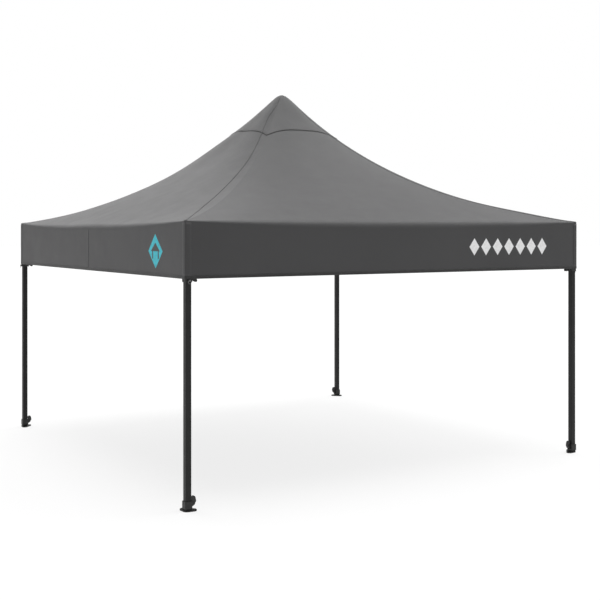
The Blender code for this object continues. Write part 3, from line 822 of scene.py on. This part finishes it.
def make_mid_seam(side, side_index):
    """The upright seam where the two halves of a valance are joined."""
    lines = []
    top = eave_bend(side_index, 0)[2][1]
    for k in range(MID_SEAM_ROWS + 1):
        z = top + (HEM_Z + HEM_WIDTH - top) * k / MID_SEAM_ROWS
        line = []
        for offset, lift in strip_profile(MID_SEAM, 0.0003):
            n = HALF - valance_ripple(side_index, offset / HALF, top - z) + lift
            line.append(turned(n, offset, z, side_index))
        lines.append(line[::-1])
    return sewn(ribbon(f"{side}_mid_seam", lines, "mid_tape"), 0.0005)


def outline(z, offset):
    """Points round the valance at one height, moved outward by the offset."""
    made = []
    for side_index in range(4):
        for v in side_shares()[:-1]:
            end = eave_bend(side_index, v)[2]
            n = HALF - (valance_ripple(side_index, v, end[1] - z) if z < end[1] else 0)
            n, t = round_corner(n, v * HALF)
            at = turned(n, t, z, side_index)
            share = ease(abs(v), 0.9965, 1.0) * 0.5
            out = turned(1 - share, math.copysign(share, v), 0, side_index).normalized()
            made.append(at + offset * out)
    return made


def make_hem_binding():
    """The dark tape folded round the hem, stitched along its upper edge."""
    top = HEM_Z + HEM_WIDTH
    below_top, above_fold, fold = top - 0.0015, HEM_Z + 0.004, HEM_Z + 0.001
    profile = [
        (top, 0.0004), (below_top, 0.0012), (above_fold, 0.0014), (fold, 0.0012), (HEM_Z, 0.0),
        (fold, -0.0020), (above_fold, -0.0022), (below_top, -0.0020), (top, -0.0012),
    ]
    loops = [outline(z, offset) for z, offset in profile]
    lines = [[loop[k] for loop in loops] for k in range(len(loops[0]))]
    binding = ribbon("hem_binding", lines, "hem", closed=True)
    return sewn(binding, 0.0004)


def facing_place(s):
    """Where a facing's column stands in plan at the +X +Y corner, from its share across, -1 to 1."""
    lift = 0.0009 if abs(s) < 0.98 else 0.0002
    inner = HALF - CORNER_R
    radius = CORNER_R + lift
    half_arc = radius * math.pi / 4
    distance = abs(s) * FACING
    if distance < half_arc:
        angle = math.pi / 4 - distance / radius
        n, t = inner + radius * math.cos(angle), inner + radius * math.sin(angle)
    else:
        n, t = HALF + lift, inner - (distance - half_arc)
    return (n, t) if s > 0 else (t, n)


def make_corner_bands():
    """The facing on both sides of each upright corner, down the valance."""
    places = [facing_place(-s) for s in reversed(FACING_SHARES)] + [facing_place(s) for s in FACING_SHARES]
    made = []
    for leg, (sx, sy) in LEGS.items():
        lines = []
        for k in range(FACING_ROWS + 1):
            z = FACING_TOP + (FACING_LOW - FACING_TOP) * k / FACING_ROWS
            line = [Vector((sx * x, sy * y, z)) for x, y in places]
            lines.append(line if sx * sy > 0 else line[::-1])
        band = ribbon(f"{leg}_corner_band", lines, "tape")
        made.append(sewn(band, 0.0005))
    return made


# ---- camera, floor and light ----


def make_camera():
    data = bpy.data.cameras.new("camera")
    data.lens = CAMERA_LENS
    data.sensor_width = CAMERA_SENSOR
    data.shift_y = CAMERA_SHIFT
    data.clip_end = 200
    camera = bpy.data.objects.new("camera", data)
    camera.location = CAMERA_PLACE
    camera.rotation_euler = (math.radians(90), 0, math.radians(CAMERA_TURN))
    bpy.context.scene.collection.objects.link(camera)
    bpy.context.scene.camera = camera


def make_floor():
    """A white floor that glows a little, so that shadows on it stay pale. From below it is clear."""
    surface = Surface("floor", 0.9, specular=0.1)
    surface.shader.inputs["Base Color"].default_value = (FLOOR_GREY, FLOOR_GREY, FLOOR_GREY, 1)
    surface.shader.inputs["Emission Color"].default_value = (1, 1, 1, 1)
    surface.shader.inputs["Emission Strength"].default_value = FLOOR_GLOW
    mixed = surface.node("ShaderNodeMixShader")
    surface.link(surface.node("ShaderNodeNewGeometry").outputs["Backfacing"], mixed.inputs["Fac"])
    surface.link(surface.shader.outputs["BSDF"], mixed.inputs[1])
    surface.link(surface.node("ShaderNodeBsdfTransparent").outputs["BSDF"], mixed.inputs[2])
    surface.link(mixed.outputs["Shader"], surface.tree.nodes["Material Output"].inputs["Surface"])
    bm = bmesh.new()
    bmesh.ops.create_circle(bm, cap_ends=True, segments=96, radius=FLOOR_R)
    mesh = bpy.data.meshes.new("floor")
    bm.to_mesh(mesh)
    bm.free()
    mesh.materials.append(surface.material)
    floor = bpy.data.objects.new("floor", mesh)
    floor.location.z = -0.0005
    bpy.context.scene.collection.objects.link(floor)


def make_studio():
    """A backdrop that looks white and gives a weaker glow."""
    world = bpy.data.worlds.new("studio")
    world.use_nodes = True
    tree = world.node_tree
    glow = tree.nodes["Background"]
    glow.inputs["Color"].default_value = (1, 1, 1, 1)
    glow.inputs["Strength"].default_value = STUDIO_GLOW
    backdrop = tree.nodes.new("ShaderNodeBackground")
    backdrop.inputs["Color"].default_value = (1, 1, 1, 1)
    path = tree.nodes.new("ShaderNodeLightPath")
    mixed = tree.nodes.new("ShaderNodeMixShader")
    tree.links.new(path.outputs["Is Camera Ray"], mixed.inputs["Fac"])
    tree.links.new(glow.outputs["Background"], mixed.inputs[1])
    tree.links.new(backdrop.outputs["Background"], mixed.inputs[2])
    tree.links.new(mixed.outputs["Shader"], tree.nodes["World Output"].inputs["Surface"])
    bpy.context.scene.world = world


def make_lamps():
    """Wide soft lamps, far away."""
    for name, towards, strength, width in LAMPS:
        data = bpy.data.lights.new(name, "SUN")
        data.energy = strength
        data.angle = math.radians(width)
        lamp = bpy.data.objects.new(name, data)
        lamp.rotation_euler = Vector(towards).to_track_quat("Z", "Y").to_euler()
        bpy.context.scene.collection.objects.link(lamp)
    view = bpy.context.scene.view_settings
    view.view_transform = "Standard"
    view.look = "None"


def dress_frame():
    """The CAD pieces that show get their finish: the first whose word is in the name."""
    finishes = (
        ("outer_leg", "tube"), ("inner_leg", "tube"), ("bar", "tube"), ("mast_with", "tube"),
        ("slider", "nylon"), ("collar", "nylon"), ("bracket", "nylon"), ("hub", "nylon"),
        ("mast_head", "nylon"), ("lever", "lever"), ("pull_pin", "pin"),
    )
    for name, node in frame["nodes"].items():
        for part, key in finishes:
            if part in name:
                for slot in node.material_slots:
                    slot.material = MATERIALS[key]
                break


def soften_edges():
    """The small pieces and the inner legs have no sharp edges."""
    for name, node in frame["nodes"].items():
        if any(part in name for part in SOFT_EDGED):
            soft = node.modifiers.new("soft_edges", "BEVEL")
            soft.width = SOFT_EDGE
            soft.segments = 2
            soft.limit_method = "ANGLE"
            soft.angle_limit = math.radians(40)


def make_adjusting_holes(leg, sx, sy):
    """The row of holes down the outward faces of an inner leg, as thin discs laid on them whose dark colour
    is painted shade of the tube's hollow inside. It shows when the leg is drawn out."""
    bm = bmesh.new()
    for k in range(HOLE_COUNT):
        for axis, sign in (("Y", sx), ("X", sy)):
            flat = Matrix.Rotation(math.radians(90), 4, axis)
            out = Vector((sign, 0, 0)) if axis == "Y" else Vector((0, sign, 0))
            centre = Vector((sx * LEG_AXIS, sy * LEG_AXIS, HOLE_START + HOLE_PITCH * k)) + out * INNER_HALF
            bmesh.ops.create_cone(
                bm, cap_ends=True, segments=20, radius1=HOLE_R, radius2=HOLE_R, depth=HOLE_DEPTH,
                matrix=Matrix.Translation(centre) @ flat,
            )
    holes = mesh_object(f"{leg}_adjusting_holes", bm, ["hole"], smooth=False)
    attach(holes, frame["nodes"][f"{leg}_inner_leg"]["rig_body"])


def make_mast_spring():
    """The coil between the mast and its head, which keeps the canopy tight."""
    bm = bmesh.new()
    rings = []
    steps = SPRING_TURNS * SPRING_STEPS
    rise = SPRING_HIGH - SPRING_LOW
    for k in range(steps + 1):
        angle = math.tau * k / SPRING_STEPS
        out = Vector((math.cos(angle), math.sin(angle), 0))
        centre = out * SPRING_R + Vector((0, 0, SPRING_LOW + rise * k / steps))
        ring = []
        for j in range(SPRING_SIDES):
            turn = math.tau * j / SPRING_SIDES
            across = math.cos(turn) * out + Vector((0, 0, math.sin(turn)))
            ring.append(bm.verts.new(centre + SPRING_WIRE * across))
        rings.append(ring)
    for before, after in zip(rings, rings[1:]):
        for j in range(SPRING_SIDES):
            beside = (j + 1) % SPRING_SIDES
            bm.faces.new([before[j], before[beside], after[beside], after[j]])
    bm.faces.new(rings[0])
    bm.faces.new(rings[-1][::-1])
    bmesh.ops.recalc_face_normals(bm, faces=bm.faces)
    spring = mesh_object("mast_spring", bm, ["spring"])
    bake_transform(spring)


make_camera()
make_floor()
make_studio()
make_lamps()
dress_frame()
soften_edges()
for leg, (sx, sy) in LEGS.items():
    make_adjusting_holes(leg, sx, sy)
make_mast_spring()
canopy = make_canopy()
trim = [make_hip_seam(leg) for leg in LEGS]
trim.append(make_crown_cap())
trim.append(make_crown_hem())
trim += [make_mid_seam("right", 0), make_mid_seam("left", 2)]
trim.append(make_hem_binding())
trim += make_corner_bands()
